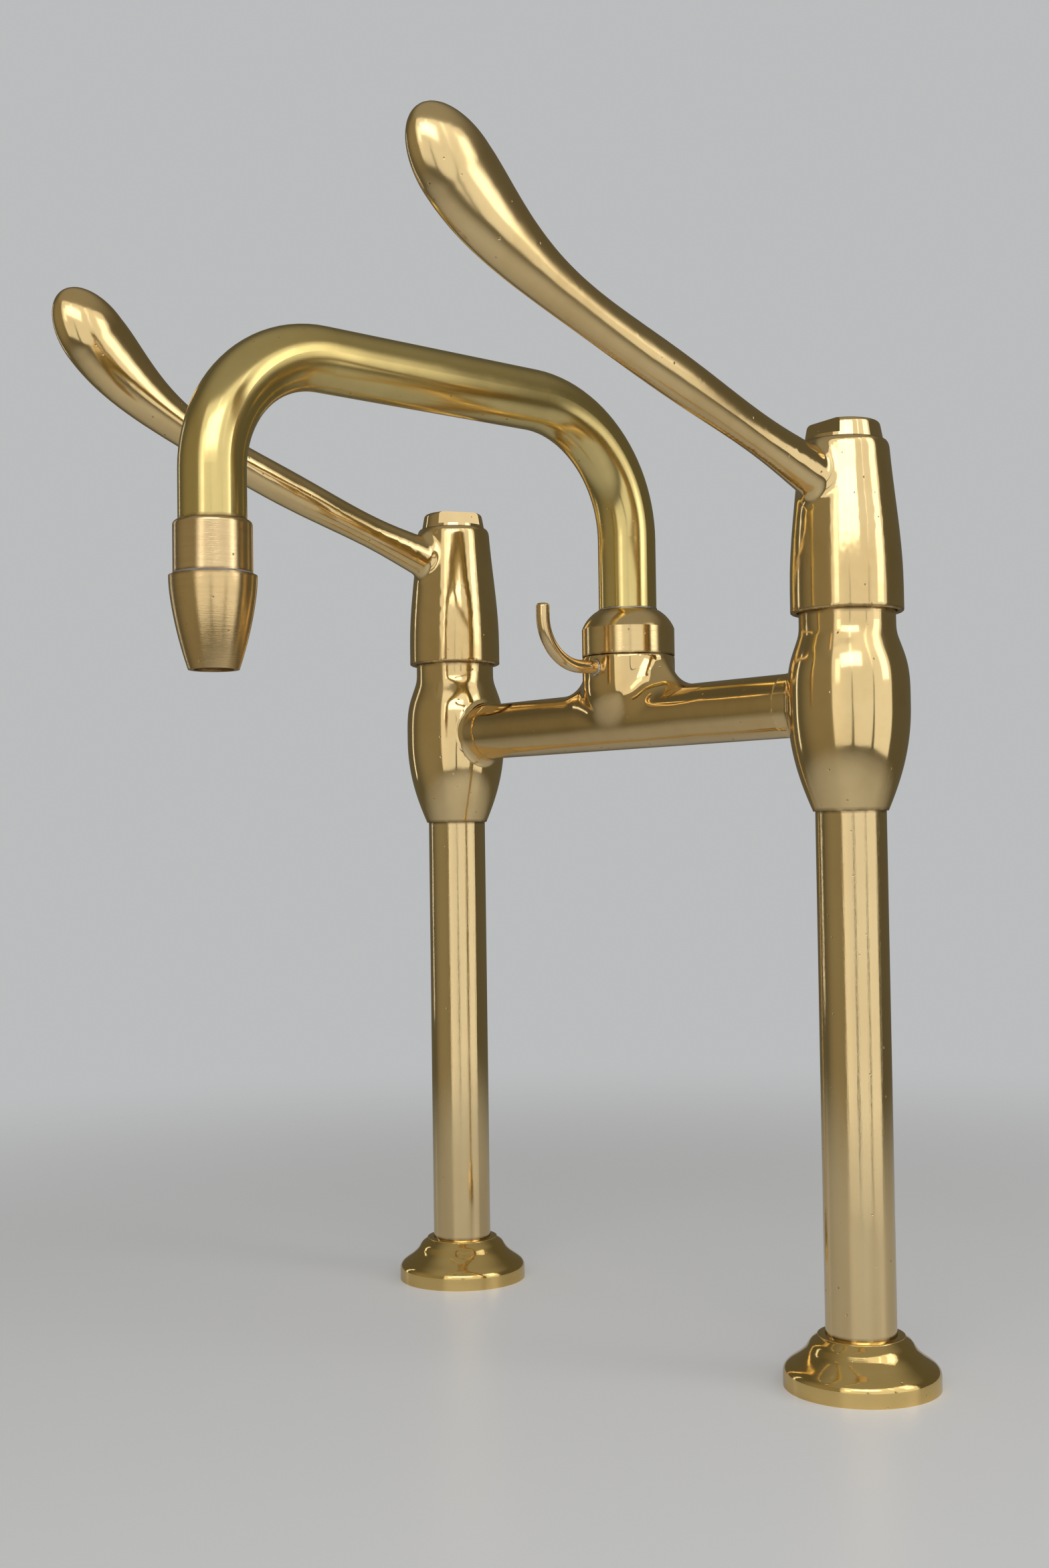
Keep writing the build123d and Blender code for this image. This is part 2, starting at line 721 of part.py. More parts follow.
side_pieces = {
    "deck_flange": make_flange,
    "deck_seal": make_seal,
    "pillar": make_pillar,
    "tail": make_tail,
    "deck_washer": make_deck_washer,
    "backnut": make_backnut,
    "valve_seat": make_valve_seat,
    "jumper": make_jumper,
    "jumper_washer": make_jumper_washer,
    "jumper_nut": make_jumper_nut,
    "headgear_washer": make_headgear_washer,
    "headgear": make_headgear,
    "gland_packing": make_packing,
    "gland_nut": make_gland_nut,
}
handle_pieces = {
    "spindle_clip": make_clip,
    "spindle": make_spindle,
    "lever_screw": make_lever_screw,
}
centre_pieces = {
    "bridge": make_bridge,
    "spout_thrust_ring": make_thrust_ring,
    "spout_gland_nut": make_spout_gland_nut,
    "spout_tube": make_spout_tube,
    "spout_ferrule": make_ferrule,
    "spout_o_rings": make_o_rings,
    "nozzle_collar": make_nozzle_collar,
    "nozzle_washer": make_nozzle_washer,
    "nozzle": make_nozzle,
    "hook": make_hook,
}

os.makedirs("parts", exist_ok=True)
hot_side = Pos(-pipe_centres / 2, 0, 0)
cold_side = Pos(pipe_centres / 2, 0, 0)
hot_handle = hot_side * Rot(0, 0, hot_closed_angle)
cold_handle = cold_side * Rot(0, 0, cold_closed_angle)
for piece, make in side_pieces.items():
    shape = make()
    export_step(hot_side * shape, f"parts/hot_{piece}.step")
    export_step(cold_side * shape, f"parts/cold_{piece}.step")
for piece, make in handle_pieces.items():
    shape = make()
    export_step(hot_handle * shape, f"parts/hot_{piece}.step")
    export_step(cold_handle * shape, f"parts/cold_{piece}.step")
export_step(hot_handle * make_lever(hot_arm_sag), "parts/hot_lever.step")
export_step(cold_handle * make_lever(cold_arm_sag), "parts/cold_lever.step")
export_step(hot_side * Rot(0, 0, hot_cap_angle) * make_cap(), "parts/hot_lever_cap.step")
export_step(cold_side * Rot(0, 0, cold_cap_angle) * make_cap(), "parts/cold_lever_cap.step")
export_step(hot_side * make_valve_body(1), "parts/hot_valve_body.step")
export_step(cold_side * make_valve_body(-1), "parts/cold_valve_body.step")
for piece, make in centre_pieces.items():
    export_step(make(), f"parts/{piece}.step")
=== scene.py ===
# %% [markdown]
# # A brass bridge mixer tap
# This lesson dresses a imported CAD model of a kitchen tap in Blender. The solids already have the right
# shapes and sizes, in metres, and they already move. What is left is what makes bare brass look like bare
# brass: the finish of each piece, the soft light that it mirrors, and the small marks left by casting,
# drawing, turning and soldering. The frame is loaded first, because every piece that is added later has
# to ride on one of its bodies.

# %% Load the frame
import json
import math
import random

import bmesh
import bpy
from mathutils import Euler, Matrix, Vector


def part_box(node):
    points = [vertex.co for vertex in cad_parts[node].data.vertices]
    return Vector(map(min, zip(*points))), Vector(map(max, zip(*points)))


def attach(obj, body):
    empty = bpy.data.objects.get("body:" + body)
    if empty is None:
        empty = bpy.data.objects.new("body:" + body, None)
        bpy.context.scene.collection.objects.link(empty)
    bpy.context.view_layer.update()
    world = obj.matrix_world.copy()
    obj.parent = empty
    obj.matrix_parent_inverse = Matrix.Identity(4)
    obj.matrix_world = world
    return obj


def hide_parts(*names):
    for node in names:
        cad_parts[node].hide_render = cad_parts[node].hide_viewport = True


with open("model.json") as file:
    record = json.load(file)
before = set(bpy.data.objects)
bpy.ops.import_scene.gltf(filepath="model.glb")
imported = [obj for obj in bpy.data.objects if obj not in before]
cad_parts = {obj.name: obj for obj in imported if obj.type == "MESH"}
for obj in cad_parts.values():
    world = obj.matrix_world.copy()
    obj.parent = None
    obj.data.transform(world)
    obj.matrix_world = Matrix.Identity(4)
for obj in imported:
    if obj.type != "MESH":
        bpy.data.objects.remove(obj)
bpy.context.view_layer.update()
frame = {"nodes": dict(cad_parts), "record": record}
nodes = frame["nodes"]

# %% [markdown]
# ## The camera
# The photograph was taken from the right, from a little below the bridge, with a normal lens. A camera's
# own axis is its -Z, so a turn of 90 degrees about X makes it look level, and a little more makes it look
# up. The turn about Z swings it round the tap, and the small roll comes last, about the camera's own
# axis, which is why it is multiplied on the right.

# %% Place the camera
camera_place = Vector((0.51104, -0.48914, 0.18399))
camera_swing = math.radians(49.56)
camera_pitch = math.radians(1.85)
camera_roll = math.radians(-0.81)

lens = bpy.data.cameras.new("photo_camera")
lens.sensor_fit = "VERTICAL"
lens.sensor_height = 36.0
lens.lens = 42.15
lens.clip_start = 0.01
camera = bpy.data.objects.new("photo_camera", lens)
bpy.context.scene.collection.objects.link(camera)
level = Euler((math.radians(90) + camera_pitch, 0, camera_swing)).to_matrix()
rolled = level @ Matrix.Rotation(camera_roll, 3, "Z")
camera.matrix_world = Matrix.Translation(camera_place) @ rolled.to_4x4()
bpy.context.scene.camera = camera
print("camera looks along", [round(v, 3) for v in rolled @ Vector((0, 0, -1))])

# %% [markdown]
# ## Small helpers for shader nodes
# A shader is a graph, and writing one in Python means adding a node, setting some sockets and linking
# others. The first helper does both of the last two: a socket that is given another node's output is
# linked, anything else is set as a value. Groups are made with named sockets, so that each effect is
# built once and reused with other values.

# %% Node helpers
def fill(tree, node, inputs):
    """Links or sets the inputs of a node. The keys are socket names or numbers."""
    for key, value in inputs.items():
        if isinstance(value, bpy.types.NodeSocket):
            tree.links.new(value, node.inputs[key])
        else:
            node.inputs[key].default_value = value


def add(tree, kind, inputs=None, **settings):
    """Adds a node with its settings and inputs."""
    made = tree.nodes.new(kind)
    for name, value in settings.items():
        setattr(made, name, value)
    fill(tree, made, inputs or {})
    return made


def math_node(tree, operation, first, second=0.0, clamp=False):
    inputs = {0: first, 1: second}
    return add(tree, "ShaderNodeMath", inputs, operation=operation, use_clamp=clamp).outputs[0]


def vector_node(tree, operation, first, second=(0.0, 0.0, 0.0)):
    made = add(tree, "ShaderNodeVectorMath", {0: first, 1: second}, operation=operation)
    return made.outputs["Value" if operation in ("LENGTH", "DOT_PRODUCT") else "Vector"]


def noise(tree, place, size, detail):
    inputs = {"Vector": place, "Scale": size, "Detail": detail}
    return add(tree, "ShaderNodeTexNoise", inputs).outputs["Fac"]


def mix_colour(tree, factor, first, second, blend="MIX"):
    inputs = {"Factor": factor, 6: first, 7: second}
    return add(tree, "ShaderNodeMix", inputs, data_type="RGBA", blend_type=blend).outputs[2]


def ramp_up(tree, value, low, high):
    """0 below low, 1 above high, smooth between."""
    inputs = {"Value": value, "From Min": low, "From Max": high}
    return add(tree, "ShaderNodeMapRange", inputs, interpolation_type="SMOOTHSTEP").outputs[0]


def new_group(name, inputs, outputs):
    """A shader group. inputs are (name, kind, value), outputs are (name, kind)."""
    group = bpy.data.node_groups.new(name, "ShaderNodeTree")
    for label, kind, value in inputs:
        socket = group.interface.new_socket(label, in_out="INPUT", socket_type="NodeSocket" + kind)
        if value is not None:
            socket.default_value = value
    for label, kind in outputs:
        group.interface.new_socket(label, in_out="OUTPUT", socket_type="NodeSocket" + kind)
    return group, group.nodes.new("NodeGroupInput").outputs, group.nodes.new("NodeGroupOutput").inputs


def place_group(tree, group, inputs):
    made = tree.nodes.new("ShaderNodeGroup")
    made.node_tree = group
    fill(tree, made, inputs)
    return made.outputs


def new_material(name):
    """A material with an empty graph, and the graph."""
    made = bpy.data.materials.new(name)
    made.use_nodes = True
    made.node_tree.nodes.clear()
    return made, made.node_tree


print("node helpers ready")

# %% [markdown]
# ## Light and floor
# Polished metal has hardly any colour of its own: it shows what stands around it, tinted. Surroundings of
# one brightness make brass look like mustard paint, so a mirror needs both bright and dim sides. Here the
# world is one pale backdrop. The camera sees it at full strength, and so does a ray that has come through
# glass. Mirrored in the metal it is shown too, but at a part of its strength and mixed with a warm shade,
# as if it stood far behind the lamps. That keeps the dim sides that brass needs. For all other rays it is
# a neutral fill. Two faint lobes, soft patches found from the angle between a ray and the lobe's middle,
# are added for the ceiling and for the left of the room.

# %% World
world = bpy.data.worlds.new("soft_room")
bpy.context.scene.world = world
world.use_nodes = True
sky = world.node_tree
sky.nodes.clear()
direction = add(sky, "ShaderNodeTexCoord").outputs["Generated"]


def compass(turn, rise):
    """A unit vector from a turn about Z, counted from +X, and a rise above the horizon, both in degrees."""
    across = math.radians(turn)
    upward = math.radians(rise)
    flat = math.cos(upward)
    return (flat * math.cos(across), flat * math.sin(across), math.sin(upward))


def lobe(turn, rise, full, edge, colour):
    """A soft patch of light: full colour up to the first angle from its middle, gone at the second."""
    facing = vector_node(sky, "DOT_PRODUCT", direction, compass(turn, rise))
    share = ramp_up(sky, facing, math.cos(math.radians(edge)), math.cos(math.radians(full)))
    return mix_colour(sky, share, (0, 0, 0, 1), colour)


def ray_kinds(tree):
    """Two masks: 1 for rays from the camera or through glass, and 1 for mirrored rays."""
    ray = add(tree, "ShaderNodeLightPath").outputs
    direct = math_node(tree, "MAXIMUM", ray["Is Camera Ray"], ray["Is Transmission Ray"])
    return direct, ray["Is Glossy Ray"]


viewer_side = -40.4
backdrop = (0.50, 0.505, 0.51, 1)
room_fill = (0.22, 0.22, 0.22, 1)
ceiling = (0.20, 0.195, 0.185, 1)
left_of_room = (0.15, 0.125, 0.08, 1)
warm_shade = (0.045, 0.034, 0.0, 1)
mirrored_share = 0.14

mirrored = mix_colour(sky, mirrored_share, warm_shade, backdrop)
left_patch = lobe(viewer_side - 62, rise=8, full=5, edge=55, colour=left_of_room)
ceiling_patch = lobe(viewer_side + 20, rise=75, full=20, edge=60, colour=ceiling)
for patch in (left_patch, ceiling_patch):
    mirrored = mix_colour(sky, 1.0, mirrored, patch, blend="ADD")
seen, glossy = ray_kinds(sky)
sky_colour = mix_colour(sky, glossy, room_fill, mirrored)
sky_colour = mix_colour(sky, seen, sky_colour, backdrop)
sky_light = add(sky, "ShaderNodeBackground", {"Color": sky_colour, "Strength": 1.0})
add(sky, "ShaderNodeOutputWorld", {"Surface": sky_light.outputs[0]})
bpy.context.scene.view_settings.view_transform = "Standard"
print("pale backdrop, mirrored at", mirrored_share)

# %% [markdown]
# Soft boxes give the bright side. Three tall ones stand almost edge to edge on the viewer's side, like a
# bay window, and the gaps between them are the thin dark lines along the pillars. A stronger, wide one
# hangs in front of them, higher up, and two more stand to the right and left, for the cream highlights on
# the pillars and on the blades of the levers. A narrow one behind draws a bright rim. A lamp's power
# follows from the brightness that a mirror would show of it.

# %% Soft boxes
tap_middle = Vector((0, -0.05, 0.24))
bay_distance = 1.6
near_distance = 1.5


def soft_box(name, turn, rise, far, width, height, radiance):
    """A rectangular lamp that faces the tap, at a turn from the viewer's side."""
    lamp = bpy.data.lights.new(name, "AREA")
    lamp.shape = "RECTANGLE"
    lamp.size = width
    lamp.size_y = height
    lamp.energy = radiance * math.pi * width * height
    holder = bpy.data.objects.new(name, lamp)
    bpy.context.scene.collection.objects.link(holder)
    holder.location = tap_middle + far * Vector(compass(viewer_side + turn, rise))
    aim = tap_middle - holder.location
    holder.rotation_euler = aim.to_track_quat("-Z", "Y").to_euler()


for number, (turn, radiance) in enumerate([(-18, 0.70), (20, 0.74), (58, 0.78)], start=1):
    soft_box(f"bay_window_{number}", turn, rise=14, far=bay_distance,
             width=1.06, height=1.92, radiance=radiance)
soft_box("high_window", turn=1, rise=28, far=near_distance, width=1.00, height=0.44, radiance=1.6)
soft_box("right_window", turn=64, rise=22, far=near_distance, width=0.36, height=0.80, radiance=1.1)
soft_box("left_window", turn=-25, rise=18, far=near_distance, width=0.22, height=0.56, radiance=0.8)
soft_box("rim_strip", turn=-124, rise=8, far=near_distance, width=0.10, height=0.95, radiance=1.3)
print("seven soft boxes")

# %% [markdown]
# The floor is a pale disc whose edge fades into the backdrop, so that no horizon line cuts through the
# picture. It is lit by the same lamps, and keeps the soft shadows of the two pillars. The lamps are aimed
# at the tap and reach the floor at a slant, so it glows a little for the rays that show it: those of the
# camera and of glass in full, and those of mirrors at the backdrop's share. That makes the floor paler
# without more light on the tap.

# %% Floor
floor_radius = 0.9
fade_start = 0.25
fade_end = 0.85
floor_white = (0.84, 0.845, 0.85, 1)
glow_strength = 0.16

floor_mesh = bpy.data.meshes.new("floor")
floor_bm = bmesh.new()
bmesh.ops.create_circle(floor_bm, cap_ends=True, segments=96, radius=floor_radius)
floor_bm.to_mesh(floor_mesh)
floor_bm.free()
floor = bpy.data.objects.new("floor", floor_mesh)
bpy.context.scene.collection.objects.link(floor)

floor_paint, tree = new_material("pale_floor")
distance = vector_node(tree, "LENGTH", add(tree, "ShaderNodeTexCoord").outputs["Object"])
solid = math_node(tree, "SUBTRACT", 1.0, ramp_up(tree, distance, fade_start, fade_end))
seen, glossy = ray_kinds(tree)
shown = math_node(tree, "MAXIMUM", seen, math_node(tree, "MULTIPLY", glossy, mirrored_share))
floor_glow = math_node(tree, "MULTIPLY", shown, glow_strength)
paint = add(tree, "ShaderNodeBsdfPrincipled", {
    "Base Color": floor_white, "Roughness": 0.4, "Alpha": solid,
    "Emission Color": floor_white, "Emission Strength": floor_glow})
add(tree, "ShaderNodeOutputMaterial", {"Surface": paint.outputs[0]})
floor_mesh.materials.append(floor_paint)
print("floor radius", floor_radius, "m, fading out")

# %% [markdown]
# ## Effects that several finishes share
# The brass pieces are much the same metal in different states, so the effects are groups. The first gives
# the slow clouds of tone in hand polished brass and the matching change of roughness. The second gives the
# height of the polisher's ripples and of small casting pits. The third gives fine lines along one
# direction, for drawn tube and for turning marks: noise that is squeezed or stretched along one axis. The
# fourth is a brown line at a seam: painted shade where two parts meet, with the polish and grime that
# collect there. The fifth is the row of faint wrinkles that bending leaves on the inside of a tube's bend.
# The sixth dulls the far end of a lever, which is touched all day while its skirt is not, and the seventh
# finds edges, which wear to a brighter metal.

# %% Clouds of tone
clouds, given, result = new_group(
    "polish clouds",
    [("Vector", "Vector", None), ("Bright", "Color", (0.8, 0.6, 0.3, 1)),
     ("Deep", "Color", (0.5, 0.3, 0.1, 1)), ("Size", "Float", 40.0), ("Amount", "Float", 0.5),
     ("Smooth", "Float", 0.15), ("Dull", "Float", 0.3)],
    [("Color", "Color"), ("Roughness", "Float")])
finer_size = math_node(clouds, "MULTIPLY", given["Size"], 7.0)
blotch = ramp_up(clouds, noise(clouds, given["Vector"], given["Size"], 3.0), 0.35, 0.7)
speck = ramp_up(clouds, noise(clouds, given["Vector"], finer_size, 4.0), 0.4, 0.75)
most = math_node(clouds, "MULTIPLY", blotch, 0.7)
both = math_node(clouds, "ADD", most, math_node(clouds, "MULTIPLY", speck, 0.3))
share = math_node(clouds, "MULTIPLY", both, given["Amount"], clamp=True)
clouds.links.new(mix_colour(clouds, share, given["Bright"], given["Deep"]), result["Color"])
dulling = {"Value": both, "To Min": given["Smooth"], "To Max": given["Dull"]}
clouds.links.new(add(clouds, "ShaderNodeMapRange", dulling).outputs[0], result["Roughness"])
print("group", clouds.name)

# %% Ripples and pits
ripples, given, result = new_group(
    "hand polish",
    [("Vector", "Vector", None), ("Ripple Size", "Float", 60.0), ("Ripple Depth", "Float", 1.0),
     ("Pit Size", "Float", 500.0), ("Pit Share", "Float", 0.1), ("Pit Depth", "Float", 1.0)],
    [("Height", "Float"), ("Pits", "Float")])
wave = noise(ripples, given["Vector"], given["Ripple Size"], 0.5)
raised = math_node(ripples, "MULTIPLY", wave, given["Ripple Depth"])
cells = add(ripples, "ShaderNodeTexVoronoi", {"Vector": given["Vector"], "Scale": given["Pit Size"]})
inside = math_node(ripples, "SUBTRACT", 1.0, ramp_up(ripples, cells.outputs["Distance"], 0.1, 0.3))
luck = add(ripples, "ShaderNodeSeparateColor", {0: cells.outputs["Color"]}).outputs[0]
chosen = math_node(ripples, "LESS_THAN", luck, given["Pit Share"])
pits = math_node(ripples, "MULTIPLY", inside, chosen)
sunk = math_node(ripples, "MULTIPLY", pits, given["Pit Depth"])
ripples.links.new(math_node(ripples, "SUBTRACT", raised, sunk), result["Height"])
ripples.links.new(pits, result["Pits"])
print("group", ripples.name)

# %% Lines along one direction
lines, given, result = new_group(
    "fine lines",
    [("Vector", "Vector", None), ("Squeeze", "Vector", (1.0, 1.0, 1.0)), ("Fineness", "Float", 400.0)],
    [("Height", "Float"), ("Streak", "Float")])
squeezed = vector_node(lines, "MULTIPLY", given["Vector"], given["Squeeze"])
fine = add(lines, "ShaderNodeTexNoise",
           {"Vector": squeezed, "Scale": given["Fineness"], "Detail": 6.0, "Roughness": 0.65})
broad_scale = math_node(lines, "MULTIPLY", given["Fineness"], 0.22)
broad = noise(lines, squeezed, broad_scale, 2.0)
lines.links.new(fine.outputs["Fac"], result["Height"])
lines.links.new(ramp_up(lines, broad, 0.38, 0.66), result["Streak"])
print("group", lines.name)

# %% Seam shade and grime
def axis_distance(tree, place, axis):
    """The distance of a place from an upright line."""
    beside = vector_node(tree, "SUBTRACT", place, axis)
    return vector_node(tree, "LENGTH", vector_node(tree, "MULTIPLY", beside, (1.0, 1.0, 0.0)))


# Painted shade: a brown band at a seam's height, standing for the shade where two parts meet, with the grime
# that collects there.
seam, given, result = new_group(
    "seam shade and grime",
    [("Vector", "Vector", None), ("Height", "Float", 0.0), ("Reach", "Float", 0.001),
     ("Strength", "Float", 0.7), ("Axis", "Vector", (0.0, 0.0, 0.0)), ("Within", "Float", 1.0)],
    [("Mask", "Float")])
up = add(seam, "ShaderNodeSeparateXYZ", {0: given["Vector"]}).outputs["Z"]
radius = axis_distance(seam, given["Vector"], given["Axis"])
close = math_node(seam, "LESS_THAN", radius, given["Within"])
away = math_node(seam, "ABSOLUTE", math_node(seam, "SUBTRACT", up, given["Height"]))
near = math_node(seam, "SUBTRACT", 1.0, math_node(seam, "DIVIDE", away, given["Reach"]), clamp=True)
whole = math_node(seam, "MULTIPLY", near, close)
patchy = ramp_up(seam, noise(seam, given["Vector"], 220.0, 3.0), 0.2, 0.6)
broken = math_node(seam, "MULTIPLY", whole, patchy)
seam.links.new(math_node(seam, "MULTIPLY", broken, given["Strength"], clamp=True), result["Mask"])
print("group", seam.name)

# %% Wrinkles inside a bend
bends, given, result = new_group(
    "bend wrinkles",
    [("Vector", "Vector", None), ("Middle", "Vector", (0.0, 0.0, 0.0)), ("Radius", "Float", 0.04),
     ("From", "Float", 0.0), ("To", "Float", 1.57), ("Waves", "Float", 15.0), ("Depth", "Float", 0.03)],
    [("Height", "Float")])
arm = vector_node(bends, "SUBTRACT", given["Vector"], given["Middle"])
arm = vector_node(bends, "MULTIPLY", arm, (0.0, 1.0, 1.0))
reach = math_node(bends, "DIVIDE", vector_node(bends, "LENGTH", arm), given["Radius"])
inner = math_node(bends, "SUBTRACT", 1.0, ramp_up(bends, reach, 0.75, 1.02))
sides = add(bends, "ShaderNodeSeparateXYZ", {0: arm}).outputs
angle = math_node(bends, "ARCTAN2", sides["Z"], sides["Y"])
after = ramp_up(bends, math_node(bends, "SUBTRACT", angle, given["From"]), 0.0, 0.3)
before = ramp_up(bends, math_node(bends, "SUBTRACT", given["To"], angle), 0.0, 0.3)
stray = math_node(bends, "MULTIPLY", noise(bends, given["Vector"], 30.0, 0.0), 6.0)
phase = math_node(bends, "ADD", math_node(bends, "MULTIPLY", angle, given["Waves"]), stray)
wave = math_node(bends, "MULTIPLY", math_node(bends, "SINE", phase), given["Depth"])
share = math_node(bends, "MULTIPLY", inner, math_node(bends, "MULTIPLY", after, before))
bends.links.new(math_node(bends, "MULTIPLY", wave, share), result["Height"])
print("group", bends.name)

# %% Handled ends
handling, given, result = new_group(
    "handled end",
    [("Vector", "Vector", None), ("Axis", "Vector", (0.0, 0.0, 0.0)), ("Start", "Float", 0.03),
     ("Full", "Float", 0.1), ("Amount", "Float", 0.1)],
    [("Roughness", "Float")])
radius = axis_distance(handling, given["Vector"], given["Axis"])
far_out = ramp_up(handling, radius, given["Start"], given["Full"])
smear = noise(handling, given["Vector"], 45.0, 3.0)
touched = math_node(handling, "ADD", 0.6, math_node(handling, "MULTIPLY", smear, 0.8))
worn_end = math_node(handling, "MULTIPLY", far_out, touched)
handling.links.new(math_node(handling, "MULTIPLY", worn_end, given["Amount"]), result["Roughness"])
print("group", handling.name)

# %% Edge rub
edges, given, result = new_group(
    "edge rub",
    [("Start", "Float", 0.53), ("Full", "Float", 0.6), ("Strength", "Float", 0.6)],
    [("Mask", "Float")])
sharp = add(edges, "ShaderNodeNewGeometry").outputs["Pointiness"]
span = {"Value": sharp, "From Min": given["Start"], "From Max": given["Full"]}
rubbed = add(edges, "ShaderNodeMapRange", span).outputs[0]
edges.links.new(math_node(edges, "MULTIPLY", rubbed, given["Strength"], clamp=True), result["Mask"])
print("group", edges.name)

# %% [markdown]
# ## The brass finishes
# All of these start from one recipe: clouds of tone for Base Color and Roughness, ripples and pits for
# the bump, lines where the piece was drawn or turned, and seams at given heights. A finish is a set of
# values for that recipe, so the recipe is a function. Object coordinates are used throughout, because the
# solids keep their real places in metres, so a size of 40 means about 40 clouds per metre, and a seam's
# height can be read off the frame.

# %% The brass recipe
# Brown for the darker pits and for the seams, where it is painted shade of meeting parts with some grime.
pit_and_seam_brown = (0.13, 0.075, 0.03, 1)
pit_and_seam_dulling = 0.3
pit_depth = 0.12
# How much darker the pits are painted.
pit_darkening = 0.5
bump_distance = 0.001
edge_wear = 0.3


def brass(name, bright, deep, tone, ripple, line=None, seams=(), axis=(0, 0, 0), within=1.0, wrinkles=(),
          handled=None):
    """tone: (size, amount, smooth, dull); ripple: (size, depth, pit size, pit share);
    line: (squeeze, fineness, depth, tint); seams: (height, reach, strength), drawn only within a distance
    of an upright axis; wrinkles: (middle, radius, from angle, to angle) of each bend;
    handled: (start, full, amount), counted from the axis."""
    finish, graph = new_material(name)
    place = add(graph, "ShaderNodeTexCoord").outputs["Object"]
    size, amount, smooth, dull = tone
    cloud = place_group(graph, clouds, {"Vector": place, "Bright": bright, "Deep": deep, "Size": size,
                                        "Amount": amount, "Smooth": smooth, "Dull": dull})
    ripple_size, ripple_depth, pit_size, pit_share = ripple
    polish = place_group(graph, ripples, {
        "Vector": place, "Ripple Size": ripple_size, "Ripple Depth": ripple_depth,
        "Pit Size": pit_size, "Pit Share": pit_share, "Pit Depth": pit_depth})
    colour = cloud["Color"]
    rough = cloud["Roughness"]
    relief = polish["Height"]
    if line:
        squeeze, fineness, depth, tint = line
        grain = place_group(graph, lines, {"Vector": place, "Squeeze": squeeze, "Fineness": fineness})
        relief = math_node(graph, "ADD", relief, math_node(graph, "MULTIPLY", grain["Height"], depth))
        colour = mix_colour(graph, math_node(graph, "MULTIPLY", grain["Streak"], tint), colour, deep)
    for middle, radius, first, last in wrinkles:
        crease = place_group(graph, bends, {"Vector": place, "Middle": middle, "Radius": radius,
                                            "From": first, "To": last})
        relief = math_node(graph, "ADD", relief, crease["Height"])
    if handled:
        start, full, amount = handled
        dulled = place_group(graph, handling, {"Vector": place, "Axis": axis, "Start": start, "Full": full,
                                               "Amount": amount})
        rough = math_node(graph, "ADD", rough, dulled["Roughness"])
    worn = place_group(graph, edges, {"Strength": edge_wear})["Mask"]
    colour = mix_colour(graph, worn, colour, bright)
    # One mask darkens the pits and lays the seams' brown bands of painted shade and grime; it also adds
    # roughness.
    pit_and_seam_mask = math_node(graph, "MULTIPLY", polish["Pits"], pit_darkening)
    for height, reach, strength in seams:
        mask = place_group(graph, seam, {"Vector": place, "Height": height, "Reach": reach,
                                         "Strength": strength, "Axis": axis, "Within": within})
        pit_and_seam_mask = math_node(graph, "MAXIMUM", pit_and_seam_mask, mask["Mask"])
    colour = mix_colour(graph, pit_and_seam_mask, colour, pit_and_seam_brown)
    rough = math_node(graph, "ADD", rough, math_node(graph, "MULTIPLY", pit_and_seam_mask, pit_and_seam_dulling))
    bump = add(graph, "ShaderNodeBump", {"Strength": 1.0, "Distance": bump_distance, "Height": relief})
    shader = add(graph, "ShaderNodeBsdfPrincipled",
                 {"Base Color": colour, "Roughness": rough, "Metallic": 1.0, "Normal": bump.outputs[0]})
    add(graph, "ShaderNodeOutputMaterial", {"Surface": shader.outputs[0]})
    return finish


def height_of(node, end):
    """The lowest (0) or highest (1) height of a node."""
    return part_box(node)[end].z


def axis_of(node):
    """The upright line through the middle of a turned node."""
    low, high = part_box(node)
    return ((low.x + high.x) / 2, (low.y + high.y) / 2, 0)


print("recipe ready")

# %% [markdown]
# Cast pieces are a warm gunmetal with the deepest ripples and some pits. The turned flanges are a
# yellower metal with a mirror polish, and the caps are polished as brightly. The pillars are drawn tube,
# so their faint lines run upwards, while the nozzle was turned and its lines run round it. The spout is
# satin tube with a greener tone, and its bends carry the wrinkles.

# %% Finishes of the cast pieces
gunmetal = (0.89, 0.675, 0.345, 1)
gunmetal_deep = (0.75, 0.52, 0.22, 1)
cast_tone = (26.0, 0.6, 0.085, 0.15)
cast_ripple = (34.0, 0.6, 620.0, 0.025)
post_reach = 0.021
spindle_to_cap = 0.008
finishes = {}
for side, finger_dulling in (("hot", 0.02), ("cold", 0.08)):
    lever = f"{side}_lever"
    post = axis_of(f"{side}_pillar")
    rim_seam = height_of(lever, 0)
    cap_seam = height_of(f"{side}_spindle", 1) + spindle_to_cap
    # The lever's seams, at its rim and under the cap, are brown bands of painted shade where parts meet, with
    # some grime.
    finishes[lever] = brass(
        f"{lever}_brass", gunmetal, gunmetal_deep, cast_tone, cast_ripple, axis=post, within=post_reach,
        handled=(0.03, 0.09, finger_dulling), seams=[(rim_seam, 0.0012, 0.8), (cap_seam, 0.0010, 0.85)])
    # The body's seams, at its foot and under the lever's rim, are painted shade too; the band under the rim
    # stands for the skirt's shadow.
    body = f"{side}_valve_body"
    finishes[body] = brass(
        f"{body}_brass", gunmetal, gunmetal_deep, cast_tone, cast_ripple, axis=post, within=post_reach,
        seams=[(height_of(body, 0), 0.0013, 0.75), (rim_seam, 0.0016, 0.7)])
    print(side, "cap seam at", round(cap_seam, 4))
tee_top = height_of("spout_gland_nut", 0)
tee_seam = (tee_top, 0.0009, 0.8)
finishes["spout_gland_nut"] = brass(
    "gland_brass", gunmetal, gunmetal_deep, tone=(30.0, 0.6, 0.09, 0.15), ripple=cast_ripple,
    line=((1.0, 1.0, 12.0), 150.0, 0.03, 0.2), seams=[tee_seam])
finishes["bridge"] = brass(
    "bridge_brass", bright=(0.86, 0.635, 0.31, 1), deep=(0.70, 0.465, 0.18, 1),
    tone=(26.0, 0.5, 0.06, 0.12), ripple=(42.0, 0.5, 640.0, 0.02), seams=[tee_seam])
print("cast finishes", sorted(finishes))

